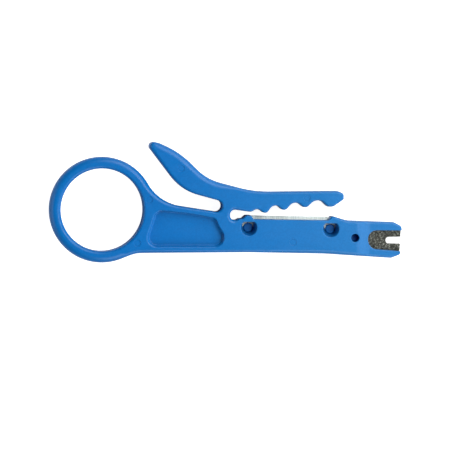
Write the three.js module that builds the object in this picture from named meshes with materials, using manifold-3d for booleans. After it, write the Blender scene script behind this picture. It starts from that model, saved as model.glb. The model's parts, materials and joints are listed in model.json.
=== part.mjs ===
// Pocket punch-down tool and cable stripper: a springy plastic moulding, a razor blade and a fork plate.
// Millimetres. The tool lies flat with its back face on z = 0, the punch-down tip points along +X and the
// squeeze lever is on the +Y side. x = y = 0 is the middle of the outline.
import * as THREE from "three";
import { mergeVertices } from "three/addons/utils/BufferGeometryUtils.js";
import Module from "manifold-3d";

// Overall sizes
const THICKNESS = 6;
const MID = THICKNESS / 2;
const EDGE_CHAMFER = 0.35;
const FIT = 0.1; // clearance between an insert and the plastic around it
const THROUGH = 1; // how far a cutter runs past the face it cuts
const ARC_ERROR = 0.03;
const COARSEST_ARC = 0.3; // the same error as a share of the radius, for the smallest arcs
const WELD = 1e-4;

// Finger ring, and the angles at which the outline leaves it and comes back to it
const RING = { x: -32.34, y: -2.02, outer: 13.68, hole: 10.74, leaves: 293, returns: 30.4 };

// The neck between the slot and the jaw gap, which bends when the lever is squeezed
const PIVOT = { x: -0.1, y: -2.1 };
const NECK_RADIUS = 2.2;
const NECK_GAP = 0.25;

const POCKET_DEPTH = 1.4;

// Stripping blade, in a slot at mid-thickness. Its own x runs along the edge, from the middle of its two pins
const BLADE = { x: 16.5, y: -6.82, tilt: -1.05, thickness: 0.5, length: 26, bottom: -3.2, shoulder: 2 };
const BLADE_EDGE = { top: 3.15, slotTop: 3.45, length: 21.2, grind: 1, land: 0.04 };
const BLADE_PIN = { radius: 1.2, spacing: 21.5, foot: 1, top: 3.5 };
const WINDOW_RADIUS = 2.08;
const WINDOWS = [{ x: 5.78, y: -6.57, flat: -5.1 }, { x: 27.24, y: -6.93, flat: -5.47 }];

// Punch-down tip, thinner than the body, with a fork plate gripped between two prongs
const TIP = { thickness: 4, rampStart: 33.7, rampEnd: 37.9, end: 46, low: -18, high: -2 };
const TIP_FIELD = { x: 39.55, y: -9.8, radius: 2.47, top: -7.33, bottom: -12.3, flare: -0.082 };
const FORK_PLATE = { thickness: 1, grip: 0.6, tangWidth: 3.8, tangBehindPin: 2.4 };
const FORK = { y: -9.95, radius: 0.86, inner: 41.9 };
const FORK_PIN = { x: 33.6, y: -9.25, radius: 1, foot: 1.4, top: 3.5 };

// The moulding's outline, anticlockwise from where it leaves the ring: [x, y, corner radius]
const LOWER_EDGE = [[-23.81, -13.21, 9], [5.77, -12.99, 60], [25.78, -13.39, 40]];
const TIP_END = [[43.29, -14.55, 1.5], [45.59, -13.62, 0.75], [45.98, -6.26, 1], [44, -5.24, 2.2]];
const FRONT_PEDESTAL = [[31.77, -4.86, 7], [27.56, -3.61, 0.8], [26.52, -4.7, 0.3]];
const REAR_PEDESTAL = [[6.93, -4.4, 0.4], [6.46, -3.44, 0.5], [5.1, -3.43, 0.5], [4.15, -4.29, 0.3]];
const JAW_GAP_END = [[3.27, -4.33, 0.5], [2.63, -4.69, 0.2], [0.9, -4.65, 1.2], [0.9, -1.75, 1.3]];
// The jaw's underside: teeth with cable notches between them, which grow towards the tip
const JAW_TEETH = [
  [6.37, -2.51, 1.5], [8.01, -1.52, 1.5], [10.22, -3.11, 1], [12.52, -0.03, 1.6], [15.02, -2.45, 1.1],
  [17.82, 0.74, 2], [20.53, -1.74, 1.25], [23.78, 1.46, 2.4], [26.48, -1.13, 0.7], [27.79, -1.14, 1.8],
];
const JAW_TIP = [[30.61, 0.81, 0.5], [30.57, 2.34, 0.8], [29.02, 2.9, 2]];
const LEVER_TOP = [[7.3, 2.63, 32], [-5.05, 5.89, 13.4], [-12.13, 12.89, 23.5]];
const LEVER_TAIL = [[-17.49, 15.25, 3], [-21.76, 16.26, 1.1]];
const SLOT = [[-11.65, 3.07, 13.3], [-1.14, 0.22, 1.5], [-1.22, -2.77, 1.5], [-17.73, -0.16, 11.8]];

// The pocket in both faces of the handle
const POCKET = [
  [-18.2, -1.65, 2.5], [-21.66, -11.7, 2.63], [-0.55, -11.7, 2.4], [-0.5, -8.28, 1.2],
  [-1.66, -6.35, 2.8], [-2.82, -3.72, 1.4], [-9.55, -2.52, 60],
];

// An area that holds the whole lever and none of the handle: its border runs along the slot and the jaw gap
const LEVER_SIDE = [
  [-27, 18], [-20.5, 9.5], [-14, 3], [-6, -0.4], [PIVOT.x, PIVOT.y],
  [3, -3.05], [50, -3.05], [50, 30], [-27, 30],
];

const wasm = await Module();
wasm.setup();

const radians = THREE.MathUtils.degToRad;
const polygon = (points) => points.map(([x, y]) => new THREE.Vector2(x, y));

// Points along an arc, close enough together to stay within ARC_ERROR of it
function arc(x, y, radius, from, to) {
  const step = 2 * Math.acos(1 - Math.min(COARSEST_ARC, ARC_ERROR / radius));
  const count = Math.max(1, Math.ceil(Math.abs(to - from) / step));
  return Array.from({ length: count + 1 }, (_, i) => {
    const angle = from + ((to - from) * i) / count;
    return new THREE.Vector2(x + radius * Math.cos(angle), y + radius * Math.sin(angle));
  });
}

const circle = (x, y, radius) => arc(x, y, radius, 0, 2 * Math.PI).slice(0, -1);

// The arc that rounds a corner [x, y, radius] between two neighbours, tangent to both of its sides
function cornerArc(before, [x, y, radius], after) {
  const corner = new THREE.Vector2(x, y);
  const back = new THREE.Vector2(before[0], before[1]).sub(corner).normalize();
  const ahead = new THREE.Vector2(after[0], after[1]).sub(corner).normalize();
  const half = Math.acos(back.dot(ahead)) / 2;
  const inward = back.clone().add(ahead).normalize();
  const centre = corner.clone().addScaledVector(inward, radius / Math.sin(half));
  const touch = corner.clone().addScaledVector(back, radius / Math.tan(half));
  const start = touch.sub(centre).angle();
  const turn = (Math.PI - 2 * half) * Math.sign(ahead.cross(back));
  return arc(centre.x, centre.y, radius, start, start + turn);
}

// A polyline with each of its corners rounded, between two end points or, without them, as a closed loop
function rounded(corners, first = corners.at(-1), last = corners[0]) {
  const line = [first, ...corners, last];
  return corners.flatMap((corner, i) => cornerArc(line[i], corner, line[i + 2]));
}

function solidOf(geometry) {
  const bare = geometry.clone().deleteAttribute("normal").deleteAttribute("uv");
  const merged = mergeVertices(bare, WELD);
  const vertProperties = merged.attributes.position.array;
  const triVerts = new Uint32Array(merged.index.array);
  return new wasm.Manifold(new wasm.Mesh({ numProp: 3, vertProperties, triVerts }));
}

// A flat outline raised from z = bottom to z = top, with its edges chamfered on both faces
function plate(outline, bottom, top, { holes = [], chamfer = 0 } = {}) {
  const shape = new THREE.Shape(outline);
  shape.holes = holes.map((hole) => new THREE.Path(hole));
  const geometry = new THREE.ExtrudeGeometry(shape, {
    depth: top - bottom - 2 * chamfer,
    bevelEnabled: chamfer > 0,
    bevelThickness: chamfer,
    bevelSize: chamfer,
    bevelOffset: -chamfer,
    bevelSegments: 1,
  });
  return solidOf(geometry.translate(0, 0, bottom + chamfer));
}

// A cutter through the whole thickness
const through = (outline) => plate(outline, -THROUGH, THICKNESS + THROUGH);

function mouldingOutline() {
  const ring = arc(RING.x, RING.y, RING.outer, radians(RING.returns), radians(RING.leaves));
  const corners = [
    ...LOWER_EDGE, ...TIP_END, ...FRONT_PEDESTAL, ...REAR_PEDESTAL, ...JAW_GAP_END,
    ...JAW_TEETH, ...JAW_TIP, ...LEVER_TOP, ...LEVER_TAIL, ...SLOT,
  ];
  return [...ring, ...rounded(corners, ring.at(-1).toArray(), ring[0].toArray())];
}

function cutPockets(solid) {
  const outline = rounded(POCKET);
  return solid
    .subtract(plate(outline, THICKNESS - POCKET_DEPTH, THICKNESS + THROUGH))
    .subtract(plate(outline, -THROUGH, POCKET_DEPTH));
}

// Points given along the stripping blade, turned and moved to where it lies in the tool
function alongBlade(points) {
  const turn = radians(BLADE.tilt);
  return polygon(points).map((point) => point.rotateAround(new THREE.Vector2(), turn).add(BLADE));
}

const pinCentres = alongBlade([[-BLADE_PIN.spacing / 2, 0], [BLADE_PIN.spacing / 2, 0]]);

// The blade's outline, or its slot's with grow: a long base, and a shorter stretch that carries the edge
function bladeOutline(grow, top) {
  const end = BLADE.length / 2 + grow;
  const edge = BLADE_EDGE.length / 2 + grow;
  const bottom = BLADE.bottom - grow;
  const shoulder = BLADE.shoulder + grow;
  return alongBlade([
    [-end, bottom], [end, bottom], [end, shoulder], [edge, shoulder],
    [edge, top], [-edge, top], [-edge, shoulder], [-end, shoulder],
  ]);
}

// A round window with a flat side towards the blade's edge
function windowOutline({ x, y, flat }) {
  const rise = Math.asin((flat - y) / WINDOW_RADIUS);
  return arc(x, y, WINDOW_RADIUS, Math.PI - rise, 2 * Math.PI + rise);
}

// The blade's slot, open above its edge, a window in the front wall over each pin, and each pin's hole behind
function cutBladeSlot(solid) {
  const half = BLADE.thickness / 2 + FIT;
  const windows = WINDOWS.map((window) => plate(windowOutline(window), MID, THICKNESS + THROUGH));
  const posts = pinCentres.map(({ x, y }) =>
    plate(circle(x, y, BLADE_PIN.radius + FIT), BLADE_PIN.foot - FIT, MID),
  );
  const slot = plate(bladeOutline(2 * FIT, BLADE_EDGE.slotTop), MID - half, MID + half);
  return [slot, ...windows, ...posts].reduce((cut, cutter) => cut.subtract(cutter), solid);
}

// The field in which the fork plate shows: a round inner end, and sides that open a little towards the tip
function tipField(grow) {
  const { x, y, radius, top, bottom, flare } = TIP_FIELD;
  const end = TIP.end + THROUGH;
  const round = arc(x, y, radius + grow, Math.PI / 2, 1.5 * Math.PI);
  const low = bottom - grow + flare * (end - x);
  return [...round, new THREE.Vector2(end, low), new THREE.Vector2(end, top + grow)];
}

// The fork plate without its fork: what the prongs grip, and a tang that runs back past the pin
function forkBlank(grow) {
  const half = FORK_PLATE.thickness / 2 + grow;
  const back = FORK_PIN.x - FORK_PLATE.tangBehindPin - grow;
  const side = FORK_PLATE.tangWidth / 2 + grow;
  const low = FORK_PIN.y - side;
  const high = FORK_PIN.y + side;
  const tang = polygon([[back, low], [TIP_FIELD.x, low], [TIP_FIELD.x, high], [back, high]]);
  const field = tipField(FORK_PLATE.grip + grow);
  return plate(field, MID - half, MID + half).add(plate(tang, MID - half, MID + half));
}

// A cutter with its outline in x and z, carried along y over the tip
function acrossTip(points) {
  const depth = TIP.high - TIP.low;
  const section = new THREE.Shape(polygon(points));
  const geometry = new THREE.ExtrudeGeometry(section, { depth, bevelEnabled: false });
  return solidOf(geometry.rotateX(Math.PI / 2).translate(0, TIP.high, 0));
}

// The ramps down to the thin tip on both faces, the open field around the fork, and the plate's groove
function cutTip(solid) {
  const face = (THICKNESS + TIP.thickness) / 2;
  const far = TIP.end + THROUGH;
  const sky = THICKNESS + THROUGH;
  const start = [TIP.rampStart, THICKNESS];
  const above = [start, [TIP.rampEnd, face], [far, face], [far, sky], [TIP.rampStart, sky]];
  const below = above.map(([x, z]) => [x, THICKNESS - z]);
  const pinHole = circle(FORK_PIN.x, FORK_PIN.y, FORK_PIN.radius + FIT / 2);
  return solid
    .subtract(acrossTip(above))
    .subtract(acrossTip(below))
    .subtract(through(tipField(0)))
    .subtract(forkBlank(FIT))
    .subtract(plate(pinHole, FORK_PIN.foot - FIT, sky));
}

function moulding() {
  const fingerHole = circle(RING.x, RING.y, RING.hole);
  const blank = plate(mouldingOutline(), 0, THICKNESS, { holes: [fingerHole], chamfer: EDGE_CHAMFER });
  return cutTip(cutBladeSlot(cutPockets(blank)));
}

// The moulding parts into handle, neck and lever on circles round the pivot, so that the lever turns freely
function splitAtNeck(whole) {
  const neckDisc = through(circle(PIVOT.x, PIVOT.y, NECK_RADIUS));
  const clearDisc = through(circle(PIVOT.x, PIVOT.y, NECK_RADIUS + NECK_GAP));
  const leverSide = through(polygon(LEVER_SIDE));
  const around = whole.subtract(clearDisc);
  return {
    neck: whole.intersect(neckDisc),
    lever: around.intersect(leverSide),
    handle: around.subtract(leverSide),
  };
}

// A razor blade ground from both sides to the edge that faces the jaw, with a hole for each pin
function strippingBlade() {
  const half = BLADE.thickness / 2;
  const { top, grind, land, length } = BLADE_EDGE;
  const holes = pinCentres.map(({ x, y }) => circle(x, y, BLADE_PIN.radius + FIT));
  const section = polygon([
    [BLADE.bottom - THROUGH, -half], [top - grind, -half], [top, -land / 2], [top, land / 2],
    [top - grind, half], [BLADE.bottom - THROUGH, half],
  ]);
  const shape = new THREE.Shape(section);
  const bar = new THREE.ExtrudeGeometry(shape, { depth: 2 * length, bevelEnabled: false });
  bar.rotateX(Math.PI / 2).rotateZ(Math.PI / 2).translate(-length, 0, 0);
  bar.rotateZ(radians(BLADE.tilt)).translate(BLADE.x, BLADE.y, MID);
  return plate(bladeOutline(0, top), MID - half, MID + half, { holes }).intersect(solidOf(bar));
}

// The steel plate with the fork that pushes a wire into its contact
function forkPlate() {
  const { y, radius, inner } = FORK;
  const far = TIP.end + 2 * THROUGH;
  const round = arc(inner + radius, y, radius, Math.PI / 2, 1.5 * Math.PI);
  const mouth = polygon([[far, y - radius], [far, y + radius]]);
  const [, lower, upper] = TIP_END;
  const beyond = polygon([lower, [far, lower[1]], [far, upper[1]], upper]);
  const hole = circle(FORK_PIN.x, FORK_PIN.y, FORK_PIN.radius + FIT);
  const cutters = [[...round, ...mouth], beyond, hole];
  return cutters.reduce((cut, outline) => cut.subtract(through(outline)), forkBlank(0));
}

function pin(radius, foot, top) {
  const segments = 24;
  const geometry = new THREE.CylinderGeometry(radius, radius, top - foot, segments);
  return geometry.rotateX(Math.PI / 2).translate(0, 0, (top + foot) / 2);
}

function geometryOf(solid) {
  const { vertProperties, triVerts } = solid.getMesh();
  const geometry = new THREE.BufferGeometry();
  geometry.setAttribute("position", new THREE.BufferAttribute(vertProperties, 3));
  geometry.setIndex(new THREE.BufferAttribute(triVerts, 1));
  const flat = geometry.toNonIndexed();
  flat.computeVertexNormals();
  return flat;
}

const plastic = () => new THREE.MeshStandardMaterial({ color: 0x1c70bd, roughness: 0.45, metalness: 0 });
const bladeSteel = () => new THREE.MeshStandardMaterial({ color: 0xd2d4d0, roughness: 0.3, metalness: 1 });
const forkSteel = () => new THREE.MeshStandardMaterial({ color: 0x6b6d68, roughness: 0.5, metalness: 1 });

const tool = new THREE.Group();

function addPart(name, geometry, material, { x, y } = { x: 0, y: 0 }) {
  const mesh = new THREE.Mesh(geometry, material);
  mesh.name = name;
  mesh.position.set(x, y, 0);
  tool.add(mesh);
}

const { handle, neck, lever } = splitAtNeck(moulding());
addPart("handle_body", geometryOf(handle), plastic());
addPart("spring_neck", geometryOf(neck), plastic());
addPart("squeeze_lever", geometryOf(lever), plastic());
addPart("stripping_blade", geometryOf(strippingBlade()), bladeSteel());
addPart("punch_down_blade", geometryOf(forkPlate()), forkSteel());
["blade_pin_rear", "blade_pin_front"].forEach((name, i) => {
  addPart(name, pin(BLADE_PIN.radius, BLADE_PIN.foot, BLADE_PIN.top), plastic(), pinCentres[i]);
});
addPart("punch_blade_pin", pin(FORK_PIN.radius, FORK_PIN.foot, FORK_PIN.top), plastic(), FORK_PIN);

export default tool;
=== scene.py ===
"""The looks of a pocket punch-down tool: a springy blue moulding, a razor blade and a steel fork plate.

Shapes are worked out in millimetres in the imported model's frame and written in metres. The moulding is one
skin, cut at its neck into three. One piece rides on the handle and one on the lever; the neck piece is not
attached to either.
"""
import json
import math

import bmesh
import bpy
import numpy as np
from mathutils import Matrix, Vector
from mathutils.geometry import delaunay_2d_cdt


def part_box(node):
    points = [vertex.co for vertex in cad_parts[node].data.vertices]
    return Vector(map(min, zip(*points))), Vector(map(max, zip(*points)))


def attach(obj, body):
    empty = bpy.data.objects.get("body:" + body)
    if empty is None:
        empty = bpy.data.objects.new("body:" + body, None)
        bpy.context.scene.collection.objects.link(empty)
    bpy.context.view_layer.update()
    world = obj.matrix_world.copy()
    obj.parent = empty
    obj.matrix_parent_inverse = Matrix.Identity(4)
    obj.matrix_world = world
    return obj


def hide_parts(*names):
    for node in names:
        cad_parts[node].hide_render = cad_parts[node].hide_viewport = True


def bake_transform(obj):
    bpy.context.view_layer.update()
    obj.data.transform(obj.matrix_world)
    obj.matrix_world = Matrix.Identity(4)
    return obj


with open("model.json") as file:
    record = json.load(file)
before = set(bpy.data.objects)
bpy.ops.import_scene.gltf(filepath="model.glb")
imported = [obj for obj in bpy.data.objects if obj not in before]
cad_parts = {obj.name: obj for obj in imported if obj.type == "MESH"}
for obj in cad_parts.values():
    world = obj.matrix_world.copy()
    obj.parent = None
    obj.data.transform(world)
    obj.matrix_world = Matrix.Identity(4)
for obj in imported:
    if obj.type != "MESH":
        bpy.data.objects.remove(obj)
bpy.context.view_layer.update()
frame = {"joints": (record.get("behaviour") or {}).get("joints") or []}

MM = 0.001


def node_box(name):
    """A CAD node's lowest and highest corner, in millimetres."""
    low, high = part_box(name)
    return np.array(low) / MM, np.array(high) / MM


def round_node(name):
    """The centre and radius of an upright round CAD node, in millimetres."""
    low, high = node_box(name)
    return (low + high)[:2] / 2, (high - low)[0] / 2


# ---------------------------------------------------------------- driving sizes, in millimetres

BODY_LOW, BODY_HIGH = node_box("handle_body")
BACK, FRONT = BODY_LOW[2], BODY_HIGH[2]
MID = (BACK + FRONT) / 2
PIVOT = np.array(frame["joints"][0]["pos_m"][:2]) / MM

LONGEST = 0.8  # between two points of an outline
ARC_STEP = math.radians(10)
ROUND_STEPS = 6  # facets over a rounded edge
HOLLOW_STEPS, WITNESS_STEPS = 4, 2  # facets over the rim or foot of a hollow
BORDER_GAP = 0.3  # from a face's border to the nearest point inside it
FACE_GRID, NECK_GRID, TIP_GRID = 2.1, 0.6, 0.4  # between the points inside a face
TOP_CORNER = (46, 17)  # past the moulding's far corner, where the sparse points end
SAME_POINT, ON_THE_CUT = 1e-6, 1e-5
FACES_UP = 0.9  # the y of a normal that counts as facing +Y
SMOOTH_WITHIN = math.cos(math.radians(40))  # a face that leans further from a point's normal is flat

RING_OUTER, RING_HOLE = 13.68, 10.74
RING_CENTRE = np.array([BODY_LOW[0] + RING_OUTER, -2.02])
RING_RETURNS, RING_LEAVES = math.radians(30.4), math.radians(293)
RING_EDGE = (1.5, 1.75)  # at the slot, and from there round to the lower edge
RING_HOLE_EDGE = (0.65, 1.05)  # beside the pocket, and across from it

# The moulding's outline, anticlockwise from where it leaves the ring: x, y, corner radius, and the rounding
# of its edges, which is a pair where it differs between the corner's start and end
LOWER_EDGE = [(-23.81, -13.21, 9, 1.05), (5.77, -12.99, 60, 0.85), (25.78, -13.39, 40, 1.25)]
TIP_END = [(43.29, -14.55, 1.5, 0.8), (45.59, -13.62, 0.75, 0.35)]
TIP_FIELD = [
    (45.68, -12.8, 0.25, 0.2), (37.08, -12.1, 2.5, 0.3), (37.08, -7.3, 2.3, 0.3), (45.99, -7.36, 0.3, 0.2),
]
TIP_TOP = [(45.98, -6.26, 1, 0.5), (44, -5.24, 2.2, 0.6)]
FRONT_PEDESTAL = [(31.77, -4.86, 7, 0.6), (27.56, -3.61, 0.8, 0.35), (26.52, -4.7, 0.3, 0.25)]
REAR_PEDESTAL = [
    (6.93, -4.4, 0.4, 0.25), (6.46, -3.44, 0.5, 0.3), (5.1, -3.43, 0.5, 0.35), (4.15, -4.29, 0.3, 0.35),
]
JAW_GAP_END = [
    (3.27, -4.33, 0.5, 0.38), (2.63, -4.69, 0.2, 0.4), (0.9, -4.65, 1.2, 0.9), (0.9, -1.75, 1.3, 0.9),
]
JAW_TEETH = [
    (6.37, -2.51, 1.5, 0.5), (8.01, -1.52, 1.5, 0.5), (10.22, -3.11, 1, 0.5), (12.52, -0.03, 1.6, 0.5),
    (15.02, -2.45, 1.1, 0.5), (17.82, 0.74, 2, 0.5), (20.53, -1.74, 1.25, 0.5), (23.78, 1.46, 2.4, 0.5),
    (26.48, -1.13, 0.7, 0.5), (27.79, -1.14, 1.8, 0.5),
]
JAW_TIP = [(30.61, 0.81, 0.5, 0.4), (30.57, 2.34, 0.8, 0.5), (29.02, 2.9, 2, 0.6)]
LEVER_TOP = [(7.3, 2.63, 32, 0.7), (-5.05, 5.89, 13.4, 1.5), (-12.13, 12.89, 23.5, 1.6)]
LEVER_TAIL = [(-17.49, 15.25, 3, 1.5), (-21.76, 16.26, 1.1, 0.9)]
LEVER_SLOT = [
    (-11.65, 3.07, 13.3, 0.7), (-1.14, 0.22, 1.5, 0.5), (-1.22, -2.77, 1.5, 0.5),
    (-17.73, -0.16, 11.8, (0.7, 1.5)),
]
OUTLINE = [
    *LOWER_EDGE, *TIP_END, *TIP_FIELD, *TIP_TOP, *FRONT_PEDESTAL, *REAR_PEDESTAL, *JAW_GAP_END,
    *JAW_TEETH, *JAW_TIP, *LEVER_TOP, *LEVER_TAIL, *LEVER_SLOT,
]
DRAFT = 0.012  # how far a wall leans in for each millimetre away from the parting line
PARTING = (0.03, 0.05)  # how far the parting line stands out, and half its width

POCKET = [  # x, y, corner radius, and what the corner adds to the rounding of the rim
    (-18.7, -1.7, 2.5, (0, 0.4)), (-22.12, -12, 2.93, 0.4), (-0.5, -12, 2.7, (0.4, 0.05)),
    (-0.45, -8.2, 1.5, 0.05), (-1.65, -6.3, 2.5, 0), (-2.8, -3.85, 1.6, 0), (-9.55, -2.62, 60, 0),
]
POCKET_DEPTH, POCKET_RIM, POCKET_FOOT, POCKET_LEAN = 1.4, 0.25, 0.4, 0.05

WINDOW_RADIUS, WINDOW_CORNER = 2.08, 0.65
WINDOW_TRIM = 0.15  # how much of the round each corner takes, in radians
WINDOW_LEAN, PIN_RECESS_LEAN = 0.32, 0
PIN_CLEARANCE = 0.3  # round the fork plate's pin
BORE_RIM, BORE_FOOT = 0.25, 0.1  # of the windows and of the pin's recess
WINDOWS = [(5.78, -6.57, -5.1), (27.24, -6.93, -5.47)]  # x, y, and the y of the flat side
WITNESSES = [(-20.2, 0.65), (-23.3, -10.6), (-11.95, 8.8), (17.33, -10.35), (20.9, 1.15)]
WITNESS_RADIUS, WITNESS_DEPTH, WITNESS_EDGE, WITNESS_LEAN = 0.95, 0.12, 0.05, 0.05

TIP_THIN = 2 / 3  # the tip's share of the body's thickness
TIP_RAMP = (33.9, 37.7)
TIP_SPAN = (-15, -4)  # the range of y that holds the ramp
RAMP_MARGIN = 0.5

BLADE_CENTRE = np.array([16.5, -6.82])
BLADE_TILT = math.radians(-1.05)
BLADE_HALF = 0.25  # half its thickness
BLADE_END, BLADE_BOTTOM, BLADE_SHOULDER = 13, -3.2, 2
EDGE_END = 10.6
GRIND = [(2.15, 0.25), (2.9, 0.1), (3.15, 0.015)]  # two bevels: the blade's own y and half its thickness
PIN_SPACING, PIN_HOLE, PIN_HOLE_EDGE = 21.5, 1.3, 0.03
TRENCH = (7.6, 25.9)  # along x, between the pedestals
TRENCH_BELOW = -4  # the outline's upper edge is the trench where it is lower than this
TRENCH_SLOT = (0.35, 0.5)  # half its width, and its depth

FORK_THICK = 1
FORK_EDGE = 0.07
FORK_SLOT = (41.9, -9.95, 0.86)  # its inner end, the y of its middle, and half its width
FORK_HOLE = 1.1
FORK_TANG = 1.9  # half the tang's width
FORK_HELD = (0.2, 0.5)  # how far the plastic covers the plate's head, behind the cut-out and beside it
SLOT_FLAT = 0.02  # half the flat that the slot's round end keeps

STUD_EDGE = 0.25

NECK_HALF = 1  # from the pivot to each cut through the neck
NECK_WAY = np.array([0.409, 0.913])  # from the handle to the lever
NECK_REACH = 3  # only faces this near the pivot are cut


# ---------------------------------------------------------------- outlines


def unit(v):
    return v / np.linalg.norm(v)


def row(at, normal, edge):
    """A point of an outline, its outward normal and its edge's rounding, as the loops keep them."""
    return np.array([*at, *normal, edge])


def arc_rows(centre, radius, start, turn, edge, bulge=1):
    """Points, outward normals and edge roundings along an arc.

    The edge rounding is one number, or the ones at the arc's start and end. bulge is -1 where the material
    is outside the arc.
    """
    count = max(2, math.ceil(abs(turn) / ARC_STEP), math.ceil(abs(turn) * radius / LONGEST))
    ways = [np.array([math.cos(a), math.sin(a)]) for a in start + turn * np.linspace(0, 1, count + 1)]
    edges = np.linspace(*np.broadcast_to(edge, 2), count + 1)
    return [row(centre + way * radius, way * bulge, edge) for way, edge in zip(ways, edges)]


def corner_rows(corners, first=None, last=None):
    """Rows along rounded corners, material on the left, between two end points or as a closed line."""
    points = [np.array(corner[:2], float) for corner in corners]
    line = [points[-1] if first is None else first, *points, points[0] if last is None else last]
    rows = []
    for corner, before, at, after in zip(corners, line, points, line[2:]):
        radius, edge = corner[2:]
        back, ahead = unit(before - at), unit(after - at)
        half = math.acos(back @ ahead) / 2
        bulge = np.sign(ahead[0] * back[1] - ahead[1] * back[0])
        centre = at + unit(back + ahead) * radius / math.sin(half)
        start = at + back * radius / math.tan(half) - centre
        turn = (math.pi - 2 * half) * bulge
        rows += arc_rows(centre, radius, math.atan2(start[1], start[0]), turn, edge, bulge)
    return rows


def spaced(rows):
    """Adds rows along the straight stretches, where the edge rounding changes smoothly."""
    out = []
    for a, b in zip(rows, [*rows[1:], rows[0]]):
        gap = np.linalg.norm(b[:2] - a[:2])
        if gap < SAME_POINT:
            continue
        count = max(1, math.ceil(gap / LONGEST))
        for t in np.arange(count) / count:
            between = a + (b - a) * t
            between[2:4] = unit(between[2:4])
            between[4] = a[4] + (b[4] - a[4]) * t * t * (3 - 2 * t)
            out.append(between)
    return np.array(out)


class Loop:
    """A closed line of points with outward normals and edge roundings, and the material on its left."""

    def __init__(self, rows):
        self.points, self.normals, self.edge = rows[:, :2], rows[:, 2:4], rows[:, 4]

    def around_hollow(self):
        """The same line with the material outside it."""
        return Loop(np.column_stack([self.points, -self.normals, self.edge])[::-1])


def circle_loop(centre, radius, edge=0):
    return Loop(spaced(arc_rows(np.array(centre), radius, 0, 2 * math.pi, edge)))


def moulding_loop():
    ring = arc_rows(RING_CENTRE, RING_OUTER, RING_RETURNS, RING_LEAVES - RING_RETURNS, RING_EDGE)
    return Loop(spaced([*ring, *corner_rows(OUTLINE, ring[-1][:2], ring[0][:2])]))


def window_loop(x, y, flat, rim):
    """A round window with a flat side towards the blade's edge, widened by its rim."""
    centre, radius, flat = np.array([x, y]), WINDOW_RADIUS + rim, flat + rim
    rise = math.asin((flat - y) / radius)
    start, turn = math.pi - rise + WINDOW_TRIM, math.pi + 2 * (rise - WINDOW_TRIM)
    round_part = arc_rows(centre, radius, start, turn, 0)
    width = radius * math.cos(rise)
    corners = [(x + width, flat, WINDOW_CORNER, 0), (x - width, flat, WINDOW_CORNER, 0)]
    return Loop(spaced([*round_part, *corner_rows(corners, round_part[-1][:2], round_part[0][:2])]))


def inside(border, point):
    """Whether a point is in a closed line of points."""
    a, b = border, np.roll(border, -1, 0)
    crosses = (a[:, 1] > point[1]) != (b[:, 1] > point[1])
    rise = np.where(crosses, b[:, 1] - a[:, 1], 1)
    at = a[:, 0] + (point[1] - a[:, 1]) / rise * (b[:, 0] - a[:, 0])
    return bool(np.count_nonzero(crosses & (point[0] < at)) % 2)


# ---------------------------------------------------------------- skins


class Skin:
    """A mesh in the making: points in millimetres, the normal wanted at each, and faces."""

    def __init__(self):
        self.points, self.normals, self.faces = [], [], []

    def add(self, points, normals):
        first = len(self.points)
        self.points += list(points)
        self.normals += list(normals)
        return list(range(first, len(self.points)))

    def ring(self, loop, offset, z, lean):
        """A closed line of points, moved along the loop's normals; lean is the z part of the normal."""
        offset = np.broadcast_to(offset, loop.edge.shape)[:, None]
        z = np.broadcast_to(z, loop.edge.shape)
        flat = math.sqrt(max(0, 1 - lean * lean))
        normals = np.column_stack([loop.normals * flat, np.full(len(z), lean)])
        return self.add(np.column_stack([loop.points + loop.normals * offset, z]), normals)

    def bridge(self, low, high, keep=None):
        """Faces between a lower ring and a higher one, for material on the left of the line."""
        count = len(low)
        for i in range(count):
            if keep is None or keep[i]:
                j = (i + 1) % count
                self.faces.append((low[i], low[j], high[j], high[i]))

    def stack(self, rings):
        for low, high in zip(rings, rings[1:]):
            self.bridge(low, high)

    def fill(self, rings, up, extra=()):
        """Triangles over a flat face on the left of its rings: first the one round it, then its holes.

        The extra points that lie well inside the face are in it too.
        """
        borders = [np.array([self.points[i][:2] for i in ring]) for ring in rings]
        z = self.points[rings[0][0]][2]
        extra = [p for p in extra if inside(borders[0], p) and not any(inside(b, p) for b in borders[1:])]
        edge_points = np.concatenate(borders)
        extra = [p for p in extra if np.min(np.linalg.norm(edge_points - p, axis=1)) > BORDER_GAP]
        ids = [i for ring in rings for i in ring]
        ids += self.add([(*p, z) for p in extra], [(0, 0, 1 if up else -1)] * len(extra))
        edges, first = [], 0
        for ring in rings:
            count = len(ring)
            edges += [(first + k, first + (k + 1) % count) for k in range(count)]
            first += count
        flat = [Vector(self.points[i][:2]) for i in ids]
        _, _, triangles, origins, _, _ = delaunay_2d_cdt(flat, edges, [], 0, SAME_POINT)
        if not all(origins):
            raise RuntimeError(f"outlines cross near z = {z}")
        made = {i: k for k, origin in enumerate(origins) for i in origin}
        border = {(made[a], made[b]) for a, b in edges}
        owner = {(t[k - 1], t[k]): tuple(t) for t in triangles for k in range(3)}
        kept = {owner[edge] for edge in border}
        queue = list(kept)
        while queue:
            triangle = queue.pop()
            for k in range(3):
                edge = (triangle[k - 1], triangle[k])
                other = owner.get(edge[::-1])
                if edge not in border and other not in kept:
                    kept.add(other)
                    queue.append(other)
        for triangle in sorted(kept):
            face = [ids[origins[k][0]] for k in triangle]
            self.faces.append(tuple(face if up else face[::-1]))


def edge_rings(skin, loop, face, side):
    """Rings over a rounded edge, from the wall to the face; side is 1 at a top face and -1 at a bottom."""
    rings = []
    for phi in np.linspace(0, math.pi / 2, ROUND_STEPS + 1):
        z = face - side * loop.edge * (1 - math.sin(phi))
        rings.append(skin.ring(loop, -loop.edge * (1 - math.cos(phi)), z, side * math.sin(phi)))
    return rings


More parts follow.
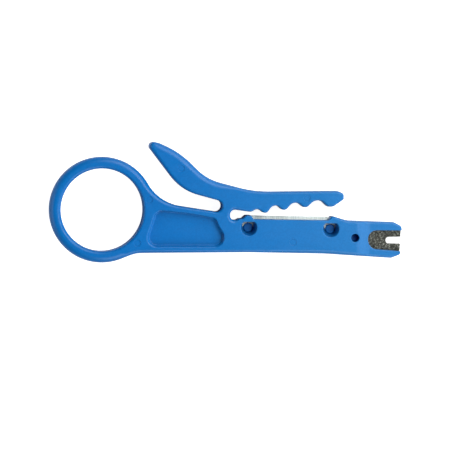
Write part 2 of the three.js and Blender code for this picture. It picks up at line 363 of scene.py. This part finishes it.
def hollow(skin, loop, face, side, depth, rim, foot, lean, steps=HOLLOW_STEPS):
    """A blind hollow with a rounded rim and foot; returns the ring of its mouth, which is the loop.

    The loop's own roundings add to the rim. The walls lean, but the more a wall faces -Y, the less it does.
    """
    loop = loop.around_hollow()
    rim = rim + loop.edge
    lean = lean * np.minimum(1, 1 + loop.normals[:, 1])
    rings = []
    for phi in np.linspace(math.pi / 2, 0, steps + 1):
        z = face - side * rim * (1 - math.sin(phi))
        rings.append(skin.ring(loop, rim * math.cos(phi), z, side * math.sin(phi)))
    wall = rim + (depth - rim - foot) * lean
    for phi in np.linspace(0, math.pi / 2, steps + 1):
        z = face - side * (depth - foot * (1 - math.sin(phi)))
        rings.append(skin.ring(loop, wall + foot * (1 - math.cos(phi)), z, side * math.sin(phi)))
    skin.stack(rings[::-1] if side > 0 else rings)
    skin.fill([rings[-1][::-1]], side > 0)
    return rings[0]


def grid(low, high, step):
    """Points of a square grid between two corners."""
    xs, ys = (np.arange(a, b, step) for a, b in zip(low, high))
    return [np.array([x, y]) for x in xs for y in ys]


def trench_slot(skin, levels, within):
    """The slot for the razor blade, in place of the wall between the levels wherever within says so."""
    depth = TRENCH_SLOT[1]
    lower, upper = levels[0], levels[-1]
    line = [i for i in range(len(lower)) if within[i]]
    line.append((line[-1] + 1) % len(lower))
    into = [-np.array([*skin.normals[lower[i]][:2], 0]) * depth for i in line]
    floor = [skin.add([skin.points[ring[i]] + way for i, way in zip(line, into)], [(0, 1, 0)] * len(line))
             for ring in (lower, upper)]
    for k in range(len(line) - 1):
        a, b = line[k], line[k + 1]
        skin.faces.append((lower[a], lower[b], floor[0][k + 1], floor[0][k]))
        skin.faces.append((floor[0][k], floor[0][k + 1], floor[1][k + 1], floor[1][k]))
        skin.faces.append((floor[1][k], floor[1][k + 1], upper[b], upper[a]))
    skin.faces.append((floor[0][0], floor[1][0], *(level[line[0]] for level in levels[::-1])))
    skin.faces.append((floor[1][-1], floor[0][-1], *(level[line[-1]] for level in levels)))


def moulding_walls(skin, loop, within=None):
    """The wall of a loop with its parting line and both rounded edges; returns its back and front rings."""
    proud, half = PARTING
    lean = DRAFT * (FRONT - MID)
    bottom = edge_rings(skin, loop, BACK, -1)[::-1]
    top = edge_rings(skin, loop, FRONT, 1)
    slot = TRENCH_SLOT[0]
    levels = [(-slot, lean), (-half, lean), (0, lean + proud), (half, lean), (slot, lean)]
    middle = [skin.ring(loop, offset, MID + z, 0) for z, offset in levels]
    skin.stack([*bottom, middle[0]])
    skin.stack([middle[-1], *top])
    keep = None if within is None else ~within
    for low, high in zip(middle, middle[1:]):
        skin.bridge(low, high, keep)
    if within is not None:
        trench_slot(skin, middle, within)
    return bottom[0], top[-1]


def thinned(skin):
    """Squeezes the tip towards mid-thickness beyond its ramp, and turns the normals with it."""
    points, normals = np.array(skin.points), np.array(skin.normals, float)
    start, end = TIP_RAMP
    t = np.clip((points[:, 0] - start) / (end - start), 0, 1)
    share = 1 - (1 - TIP_THIN) * t * t * (3 - 2 * t)
    slope = -(1 - TIP_THIN) * 6 * t * (1 - t) / (end - start)
    height = points[:, 2] - MID
    normals[:, 0] -= height * slope / share * normals[:, 2]
    normals[:, 2] /= share
    points[:, 2] = MID + height * share
    skin.points, skin.normals = points, normals / np.linalg.norm(normals, axis=1, keepdims=True)


def inner_points():
    """Points inside the moulding's faces: sparse all over, closer at the neck and at the tip's ramp."""
    neck_margin = NECK_REACH + NECK_GRID
    neck = grid(PIVOT - neck_margin, PIVOT + neck_margin, NECK_GRID)
    (ramp_start, ramp_end), (tip_low, tip_high) = TIP_RAMP, TIP_SPAN
    tip = grid((ramp_start - RAMP_MARGIN, tip_low), (ramp_end + RAMP_MARGIN, tip_high), TIP_GRID)
    return [*neck, *tip, *grid(BODY_LOW[:2], TOP_CORNER, FACE_GRID)]


def moulding_skin():
    """The whole moulding: its wall, the ring's hole, and the hollows in its two faces."""
    skin = Skin()
    outline = moulding_loop()
    here = (outline.points[:, 0] > TRENCH[0]) & (outline.points[:, 0] < TRENCH[1])
    here &= (outline.points[:, 1] < TRENCH_BELOW) & (outline.normals[:, 1] > FACES_UP)
    within = here & np.roll(here, -1)
    back, front = moulding_walls(skin, outline, within)
    ring_hole = circle_loop(RING_CENTRE, RING_HOLE)
    ring_hole.edge = np.interp(ring_hole.normals[:, 0], (-1, 1), RING_HOLE_EDGE[::-1])
    hole_back, hole_front = moulding_walls(skin, ring_hole.around_hollow())

    pocket = Loop(spaced(corner_rows(POCKET)))
    pocket_shape = (POCKET_DEPTH, POCKET_RIM, POCKET_FOOT, POCKET_LEAN)
    bore = (FRONT - MID, BORE_RIM, BORE_FOOT)
    pin_centre, pin_radius = round_node("punch_blade_pin")
    recess = circle_loop(pin_centre, pin_radius + PIN_CLEARANCE)
    mark = (WITNESS_DEPTH, WITNESS_EDGE, WITNESS_EDGE, WITNESS_LEAN, WITNESS_STEPS)

    fronts = [front, hole_front, hollow(skin, pocket, FRONT, 1, *pocket_shape)]
    windows = [window_loop(*window, BORE_RIM) for window in WINDOWS]
    fronts += [hollow(skin, window, FRONT, 1, *bore, WINDOW_LEAN) for window in windows]
    fronts.append(hollow(skin, recess, FRONT, 1, *bore, PIN_RECESS_LEAN))
    fronts += [hollow(skin, circle_loop(centre, WITNESS_RADIUS), FRONT, 1, *mark) for centre in WITNESSES]
    backs = [back, hole_back, hollow(skin, pocket, BACK, -1, *pocket_shape)]
    extra = inner_points()
    skin.fill(fronts, True, extra)
    skin.fill(backs, False, extra)
    thinned(skin)
    return skin


def islands(faces):
    """The faces as lists of the ones that hang together, in the same order each run."""
    found, seen = [], set()
    for first in faces:
        if first in seen:
            continue
        seen.add(first)
        island, queue = [], [first]
        while queue:
            face = queue.pop()
            island.append(face)
            for edge in face.edges:
                for other in edge.link_faces:
                    if other not in seen:
                        seen.add(other)
                        queue.append(other)
        found.append(island)
    return found


def split_at_neck(skin):
    """The skin cut across the neck on both sides of the pivot, as three meshes with closed ends."""
    bm = bmesh.new()
    wanted = bm.verts.layers.float_vector.new("wanted")
    verts = []
    for point, normal in zip(skin.points, skin.normals):
        vert = bm.verts.new(point)
        vert[wanted] = normal
        verts.append(vert)
    for face in skin.faces:
        bm.faces.new([verts[i] for i in face])
    bmesh.ops.delete(bm, geom=[v for v in bm.verts if not v.link_faces], context="VERTS")
    pivot, way = Vector((*PIVOT, 0)), Vector((*unit(NECK_WAY), 0))
    for side in (1, -1):
        near = [f for f in bm.faces if (f.calc_center_median().xy - pivot.xy).length < NECK_REACH]
        geometry = list(dict.fromkeys(e for f in near for e in (f, *f.edges, *f.verts)))
        through = pivot + way * side * NECK_HALF
        cut = bmesh.ops.bisect_plane(bm, geom=geometry, dist=ON_THE_CUT, plane_co=through, plane_no=way)
        bmesh.ops.split_edges(bm, edges=[e for e in cut["geom_cut"] if isinstance(e, bmesh.types.BMEdge)])
    parts = []
    for island in islands(bm.faces):
        part = Skin()
        ids = {}
        for face in island:
            for vert in face.verts:
                if vert not in ids:
                    ids[vert] = part.add([np.array(vert.co)], [np.array(vert[wanted])])[0]
            part.faces.append(tuple(ids[v] for v in face.verts))
        close_ends(part)
        parts.append(part)
    bm.free()
    return parts


def close_ends(skin):
    """Closes each open border of a skin with one flat face."""
    directed = {(face[k - 1], face[k]) for face in skin.faces for k in range(len(face))}
    following = {b: a for a, b in directed if (b, a) not in directed}
    while following:
        start, current = next(iter(following.items()))
        border = [start]
        while current != start:
            border.append(current)
            current = following.pop(current)
        following.pop(start)
        skin.faces.append(tuple(border))


# ---------------------------------------------------------------- meshes


def piece(name, skin, material, slot, *nodes, body=None):
    """An object from a skin, with the skin's normals wherever a face agrees with them."""
    mesh = bpy.data.meshes.new(name)
    mesh.from_pydata([tuple(np.array(p) * MM) for p in skin.points], [], skin.faces)
    mesh.materials.append(material)
    mesh.shade_smooth()
    corners = []
    for polygon in mesh.polygons:
        flat = np.array(polygon.normal)
        for vertex in polygon.vertices:
            wanted = np.array(skin.normals[vertex], float)
            corners.append(wanted if wanted @ flat > SMOOTH_WITHIN else flat)
    mesh.normals_split_custom_set([tuple(n) for n in corners])
    made = bpy.data.objects.new(name, mesh)
    bpy.context.scene.collection.objects.link(made)
    if body:
        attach(made, body)
    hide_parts(*nodes)
    return made


def slab(skin, loop, low, high):
    """The wall of a plate with both edges rounded; returns its lower and upper rings."""
    rings = [*edge_rings(skin, loop, low, -1)[::-1], *edge_rings(skin, loop, high, 1)]
    skin.stack(rings)
    return rings[0], rings[-1]


def fork_loop(pin):
    """The fork plate's outline: a narrow tang round the pin, and a wide head that ends with the tip."""
    inner, middle, half = FORK_SLOT
    (low_x, low_y), (high_x, high_y) = TIP_END[-1][:2], TIP_TOP[0][:2]

    def end(y):
        return low_x + (y - low_y) * (high_x - low_x) / (high_y - low_y), y

    back = node_box("punch_down_blade")[0][0]
    held_end, held_side = FORK_HELD
    head, shoulder = TIP_FIELD[1][0], TIP_FIELD[1][0] - held_end
    bottom_inner, bottom_end = TIP_FIELD[1][1] - held_side, TIP_FIELD[0][1] - held_side
    top = TIP_FIELD[3][1] + held_side
    slot_corner = half - SLOT_FLAT
    corners = [
        (back, pin[1] - FORK_TANG, 0.4), (shoulder, pin[1] - FORK_TANG, 0.3), (head, bottom_inner, 0.4),
        (*end(bottom_end), 0.1), (*end(middle - half), 0.15), (inner, middle - half, slot_corner),
        (inner, middle + half, slot_corner), (*end(middle + half), 0.15), (*end(top), 0.1),
        (head, top, 0.4), (shoulder, pin[1] + FORK_TANG, 0.3), (back, pin[1] + FORK_TANG, 0.4),
    ]
    return Loop(spaced(corner_rows([(*corner, FORK_EDGE) for corner in corners])))


def fork_skin():
    """The steel plate in the tip: a tang that runs back past its pin, and the fork that pushes the wire."""
    pin = round_node("punch_blade_pin")[0]
    loop = fork_loop(pin)
    skin = Skin()
    hole = circle_loop(pin, FORK_HOLE, FORK_EDGE).around_hollow()
    low, high = MID - FORK_THICK / 2, MID + FORK_THICK / 2
    walls = [slab(skin, loop, low, high), slab(skin, hole, low, high)]
    skin.fill([wall[0] for wall in walls], False)
    skin.fill([wall[1] for wall in walls], True)
    return skin


def razor_skin():
    """The razor blade, made in its own frame and turned into place: flats, two holes and two bevels."""
    skin = Skin()
    flat_top = GRIND[0][0]
    outline = [
        (-BLADE_END, BLADE_BOTTOM), (BLADE_END, BLADE_BOTTOM), (BLADE_END, BLADE_SHOULDER),
        (EDGE_END, BLADE_SHOULDER), (EDGE_END, flat_top), (-EDGE_END, flat_top),
        (-EDGE_END, BLADE_SHOULDER), (-BLADE_END, BLADE_SHOULDER),
    ]
    right, left = outline.index((EDGE_END, flat_top)), outline.index((-EDGE_END, flat_top))
    flat = [(0, 0, 0)] * len(outline)
    back, front = (skin.add([(x, y, z) for x, y in outline], flat) for z in (-BLADE_HALF, BLADE_HALF))
    skin.bridge(back, front, [i != right for i in range(len(outline))])
    rings = [(back, front)]
    for x in (-PIN_SPACING / 2, PIN_SPACING / 2):
        hole = circle_loop((x, 0), PIN_HOLE, PIN_HOLE_EDGE).around_hollow()
        rings.append(slab(skin, hole, -BLADE_HALF, BLADE_HALF))
    skin.fill([ring[0] for ring in rings], False)
    skin.fill([ring[1] for ring in rings], True)
    profile = [(y, half) for y, half in GRIND] + [(y, -half) for y, half in GRIND[::-1]]
    ends = []
    for x, first, last in ((EDGE_END, front[right], back[right]), (-EDGE_END, front[left], back[left])):
        between = skin.add([(x, y, z) for y, z in profile[1:-1]], [(0, 0, 0)] * (len(profile) - 2))
        ends.append([first, *between, last])
    for k in range(len(profile) - 1):
        skin.faces.append((ends[0][k], ends[0][k + 1], ends[1][k + 1], ends[1][k]))
    skin.faces += [tuple(ends[0][::-1]), tuple(ends[1])]
    turn = np.array(Matrix.Rotation(BLADE_TILT, 3, "Z"))
    shift = np.array([*BLADE_CENTRE, MID])
    skin.points = [turn @ np.array(p) + shift for p in skin.points]
    skin.normals = [turn @ np.array(n) for n in skin.normals]
    return skin


def stud_skin(node):
    """A round post with a rounded rim, where a CAD pin is."""
    low, high = node_box(node)
    skin = Skin()
    bottom, top = slab(skin, circle_loop(*round_node(node), STUD_EDGE), low[2], high[2])
    skin.fill([bottom], False)
    skin.fill([top], True)
    return skin


# ---------------------------------------------------------------- materials

BLUE = (0.0003, 0.118, 0.38)
FLOW_BLUE, STUD_SHADE_BLUE = (0, 0.109, 0.355), (0, 0.075, 0.3)  # the darkest flow marks; the studs' darkest blue is darker still with painted shade, for the shade deep in their windows
# painted light: the tip's blues are paler, as if the light falls more strongly on the tip than on the ring
# end
TIP_LIT_BLUES = (0.006, 0.131, 0.365), (0.012, 0.14, 0.385)
RAZOR_GREYS = (0.42, 0.47, 0.43), (0.62, 0.68, 0.64)
SCALE_GREYS = (0.01, 0.01, 0.007), (0.045, 0.047, 0.038), (0.15, 0.156, 0.13)
BRIGHT_SPECK = (0.5, 0.51, 0.46, 1)
FLOOR_GREYS, FLOOR_GLOW = (0.6, 0.62), 0.94


class Nodes:
    """A material's node tree, with short calls for what the materials here are made of."""

    def __init__(self, name):
        self.material = bpy.data.materials.new(name)
        self.material.use_nodes = True
        self.tree = self.material.node_tree
        self.shader = self.tree.nodes["Principled BSDF"]
        self.position = self.make("ShaderNodeTexCoord").outputs["Object"]

    def make(self, kind, **settings):
        node = self.tree.nodes.new(kind)
        for name, value in settings.items():
            setattr(node, name, value)
        return node

    def link(self, source, target):
        self.tree.links.new(source, target)

    def set(self, **values):
        for name, value in values.items():
            self.shader.inputs[name.replace("_", " ")].default_value = value

    def stretched(self, scale, turn=0.0):
        node = self.make("ShaderNodeMapping")
        node.inputs["Scale"].default_value = scale
        node.inputs["Rotation"].default_value = (0, 0, turn)
        self.link(self.position, node.inputs["Vector"])
        return node.outputs["Vector"]

    def along(self):
        """How far along the tool a point is, from 0 at its ring to 1 at its tip."""
        node = self.make("ShaderNodeMapping")
        node.inputs["Scale"].default_value = (1 / ((BODY_HIGH[0] - BODY_LOW[0]) * MM), 1, 1)
        node.inputs["Location"].default_value = (0.5, 0, 0)
        self.link(self.position, node.inputs["Vector"])
        gradient = self.make("ShaderNodeTexGradient")
        self.link(node.outputs["Vector"], gradient.inputs["Vector"])
        return gradient.outputs["Fac"]

    def noise(self, size, detail=2.0, vector=None):
        """Smooth noise whose lumps are about size millimetres across."""
        node = self.make("ShaderNodeTexNoise")
        node.inputs["Scale"].default_value = 1 / (size * MM)
        node.inputs["Detail"].default_value = detail
        self.link(vector or self.position, node.inputs["Vector"])
        return node.outputs["Fac"]

    def ramp(self, source, *stops):
        """A colour or grey for each level of source: stops are (level, value)."""
        node = self.make("ShaderNodeValToRGB")
        elements = node.color_ramp.elements
        while len(elements) < len(stops):
            elements.new(1.0)
        for element, (level, value) in zip(elements, stops):
            element.position = level
            element.color = (*value, 1) if isinstance(value, tuple) else (value, value, value, 1)
        self.link(source, node.inputs["Fac"])
        return node.outputs["Color"]

    def mix(self, a, b, factor, blend="MIX"):
        node = self.make("ShaderNodeMix", data_type="RGBA", blend_type=blend)
        for value, name in ((a, "A_Color"), (b, "B_Color"), (factor, "Factor_Float")):
            socket = next(s for s in node.inputs if s.identifier == name)
            if isinstance(value, (int, float, tuple)):
                socket.default_value = value
            else:
                self.link(value, socket)
        return next(s for s in node.outputs if s.identifier == "Result_Color")

    def bump(self, height, distance, strength=1.0, under=None):
        node = self.make("ShaderNodeBump")
        node.inputs["Distance"].default_value = distance * MM
        node.inputs["Strength"].default_value = strength
        self.link(height, node.inputs["Height"])
        if under:
            self.link(under, node.inputs["Normal"])
        return node.outputs["Normal"]


def blue_plastic(name, flow_and_shade_blue, painted_tip_light):
    """Moulded polypropylene: satin, with a fine mould grain and faint flow marks.

    Towards the tip it is lighter with painted light, by a share from 0 for none to 1 for the tip's lit
    blues. The flow marks' darkest blue is given, and for the studs it holds painted shade.
    """
    n = Nodes(name)
    flow = n.noise(9, 3, n.stretched((0.5, 1.4, 1)))
    back_half = n.ramp(flow, (0.3, flow_and_shade_blue), (0.7, BLUE))
    # painted light: the blues pale along the tool towards the tip
    lit_tip_half = n.ramp(flow, *zip((0.3, 0.7), TIP_LIT_BLUES))
    colour = n.mix(back_half, lit_tip_half, n.ramp(n.along(), (0.3, 0.0), (0.85, painted_tip_light)))
    speckle = n.ramp(n.noise(0.45, 3), (0.35, 0.9), (0.65, 1.0))
    n.link(n.mix(colour, speckle, 1.0, "MULTIPLY"), n.shader.inputs["Base Color"])
    n.link(n.ramp(n.noise(1.6, 4), (0.3, 0.3), (0.7, 0.38)), n.shader.inputs["Roughness"])
    coarse = n.bump(n.noise(2.6, 2), 0.005, 0.6)
    n.link(n.bump(n.noise(0.3, 2), 0.003, 0.8, coarse), n.shader.inputs["Normal"])
    n.set(IOR=1.49, Specular_IOR_Level=0.24)
    return n.material


def razor_steel():
    """Pale ground steel with fine lines across the edge."""
    n = Nodes("razor_steel")
    lines = n.noise(0.16, 3, n.stretched((1, 0.06, 0.06), BLADE_TILT))
    n.link(n.ramp(lines, *zip((0.35, 0.65), RAZOR_GREYS)), n.shader.inputs["Base Color"])
    n.link(n.ramp(n.noise(0.5, 3), (0.3, 0.36), (0.7, 0.48)), n.shader.inputs["Roughness"])
    n.link(n.bump(lines, 0.002), n.shader.inputs["Normal"])
    n.set(Metallic=0.25)
    return n.material


def fork_steel():
    """Dark tumbled steel: mottled, with bright specks where the scale is knocked off."""
    n = Nodes("fork_steel")
    mottle = n.noise(0.6, 4)
    colour = n.ramp(mottle, *zip((0.3, 0.5, 0.7), SCALE_GREYS))
    specks = n.ramp(n.noise(0.3, 2), (0.64, 0.0), (0.72, 1.0))
    n.link(n.mix(colour, BRIGHT_SPECK, specks), n.shader.inputs["Base Color"])
    n.link(n.ramp(mottle, (0.3, 0.6), (0.7, 0.42)), n.shader.inputs["Roughness"])
    n.link(n.bump(n.noise(0.34, 4), 0.02, 0.7), n.shader.inputs["Normal"])
    n.set(Metallic=0.6)
    return n.material


def floor_white():
    """A white that glows to the eye, as a lit table does, but throws little light back at the tool."""
    n = Nodes("floor_white")
    n.link(n.ramp(n.noise(30, 3), *zip((0.3, 0.7), FLOOR_GREYS)), n.shader.inputs["Base Color"])
    n.set(Roughness=0.9)
    glow = n.make("ShaderNodeEmission")
    glow.inputs["Strength"].default_value = FLOOR_GLOW
    seen, both = n.make("ShaderNodeAddShader"), n.make("ShaderNodeMixShader")
    n.link(n.shader.outputs["BSDF"], seen.inputs[0])
    n.link(glow.outputs["Emission"], seen.inputs[1])
    n.link(n.make("ShaderNodeLightPath").outputs["Is Camera Ray"], both.inputs[0])
    n.link(n.shader.outputs["BSDF"], both.inputs[1])
    n.link(seen.outputs["Shader"], both.inputs[2])
    n.link(both.outputs["Shader"], n.tree.nodes["Material Output"].inputs["Surface"])
    return n.material


# ---------------------------------------------------------------- the tool

# The moulding pales towards its tip with painted light.
plastic = blue_plastic("blue_plastic", FLOW_BLUE, painted_tip_light=1.0)
# The studs' plastic is darker with painted shade, for the shade in their deep windows and recess, and has no
# painted light at the tip.
stud_shaded_plastic = blue_plastic("stud_shaded_blue_plastic", STUD_SHADE_BLUE, painted_tip_light=0.0)
razor, steel = razor_steel(), fork_steel()

handle, neck, lever = sorted(
    split_at_neck(moulding_skin()),
    key=lambda skin: sum(np.dot(p[:2] - PIVOT, NECK_WAY) for p in skin.points) / len(skin.points),
)
if len(neck.points) > len(handle.points) or len(neck.points) > len(lever.points):
    raise RuntimeError("the neck isn't the small piece")
piece("handle_moulding", handle, plastic, "blue_plastic", "handle_body", body="handle")
piece("lever_moulding", lever, plastic, "blue_plastic", "squeeze_lever", body="lever")
neck_piece = piece("neck_moulding", neck, plastic, "blue_plastic", "spring_neck")
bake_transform(neck_piece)

piece("razor_blade", razor_skin(), razor, "razor_steel", "stripping_blade", body="handle")
piece("fork_plate", fork_skin(), steel, "fork_steel", "punch_down_blade", body="handle")
for node in ("blade_pin_rear", "blade_pin_front", "punch_blade_pin"):
    piece(node + "_stud", stud_skin(node), stud_shaded_plastic, "blue_plastic", node, body="handle")

# ---------------------------------------------------------------- floor, light and camera

scene = bpy.context.scene
FLOOR_SIZE = 3.0
FLOOR_GAP = 0.0001  # below the tool's back
WORLD_LIGHT = 0.06


def plane(name, size, material):
    """A level square round the origin."""
    half = size / 2
    corners = [(-half, -half, 0), (half, -half, 0), (half, half, 0), (-half, half, 0)]
    mesh = bpy.data.meshes.new(name)
    mesh.from_pydata(corners, [], [(0, 1, 2, 3)])
    mesh.materials.append(material)
    made = bpy.data.objects.new(name, mesh)
    scene.collection.objects.link(made)
    return made


floor = plane("floor", FLOOR_SIZE, floor_white())
floor.location.z = -FLOOR_GAP


def softbox(name, turn, lean, size, energy, distance):
    """A square light that faces the tool, turned from +X to +Y and leaning from the vertical, in degrees."""
    around, down = math.radians(turn), math.radians(lean)
    way = Vector((math.sin(down) * math.cos(around), math.sin(down) * math.sin(around), math.cos(down)))
    light = bpy.data.lights.new(name, "AREA")
    light.shape, light.size, light.energy = "SQUARE", size, energy
    made = bpy.data.objects.new(name, light)
    made.location = way * distance
    made.rotation_euler = way.to_track_quat("Z", "Y").to_euler()
    scene.collection.objects.link(made)


softbox("key", turn=60, lean=55, size=0.45, energy=3.4, distance=0.6)
softbox("high_key", turn=22, lean=32, size=0.24, energy=1.8, distance=0.6)
softbox("low_key", turn=-66, lean=52, size=0.46, energy=3.4, distance=0.7)
softbox("right_fill", turn=-14, lean=66, size=0.5, energy=2, distance=0.7)
softbox("left_fill", turn=184, lean=74, size=0.6, energy=2.4, distance=0.7)

world = bpy.data.worlds.new("studio")
scene.world = world
world.use_nodes = True
background = world.node_tree.nodes["Background"]
background.inputs["Color"].default_value = (1, 1, 1, 1)
background.inputs["Strength"].default_value = WORLD_LIGHT

scene.view_settings.view_transform = "Standard"

CAMERA_DISTANCE = 1.0
CAMERA_LEAN = (-0.1, 0.05)  # how far the camera stands towards +X and +Y for each metre of height
FRAME_WIDTH = 0.1167  # seen at the front face
AIM = Vector((-0.0005, -0.00586, FRONT * MM))  # the middle of the picture
SENSOR_WIDTH = 36  # millimetres

camera_data = bpy.data.cameras.new("camera")
camera_data.sensor_width = SENSOR_WIDTH
camera_data.lens = SENSOR_WIDTH * CAMERA_DISTANCE / FRAME_WIDTH
camera = bpy.data.objects.new("camera", camera_data)
back = Vector((*CAMERA_LEAN, 1)).normalized()
right = (Vector((1, 0, 0)) - back * back.x).normalized()
camera.matrix_world = Matrix.Translation(AIM + back * CAMERA_DISTANCE) @ Matrix(
    (right, back.cross(right), back)).transposed().to_4x4()
scene.collection.objects.link(camera)
scene.camera = camera
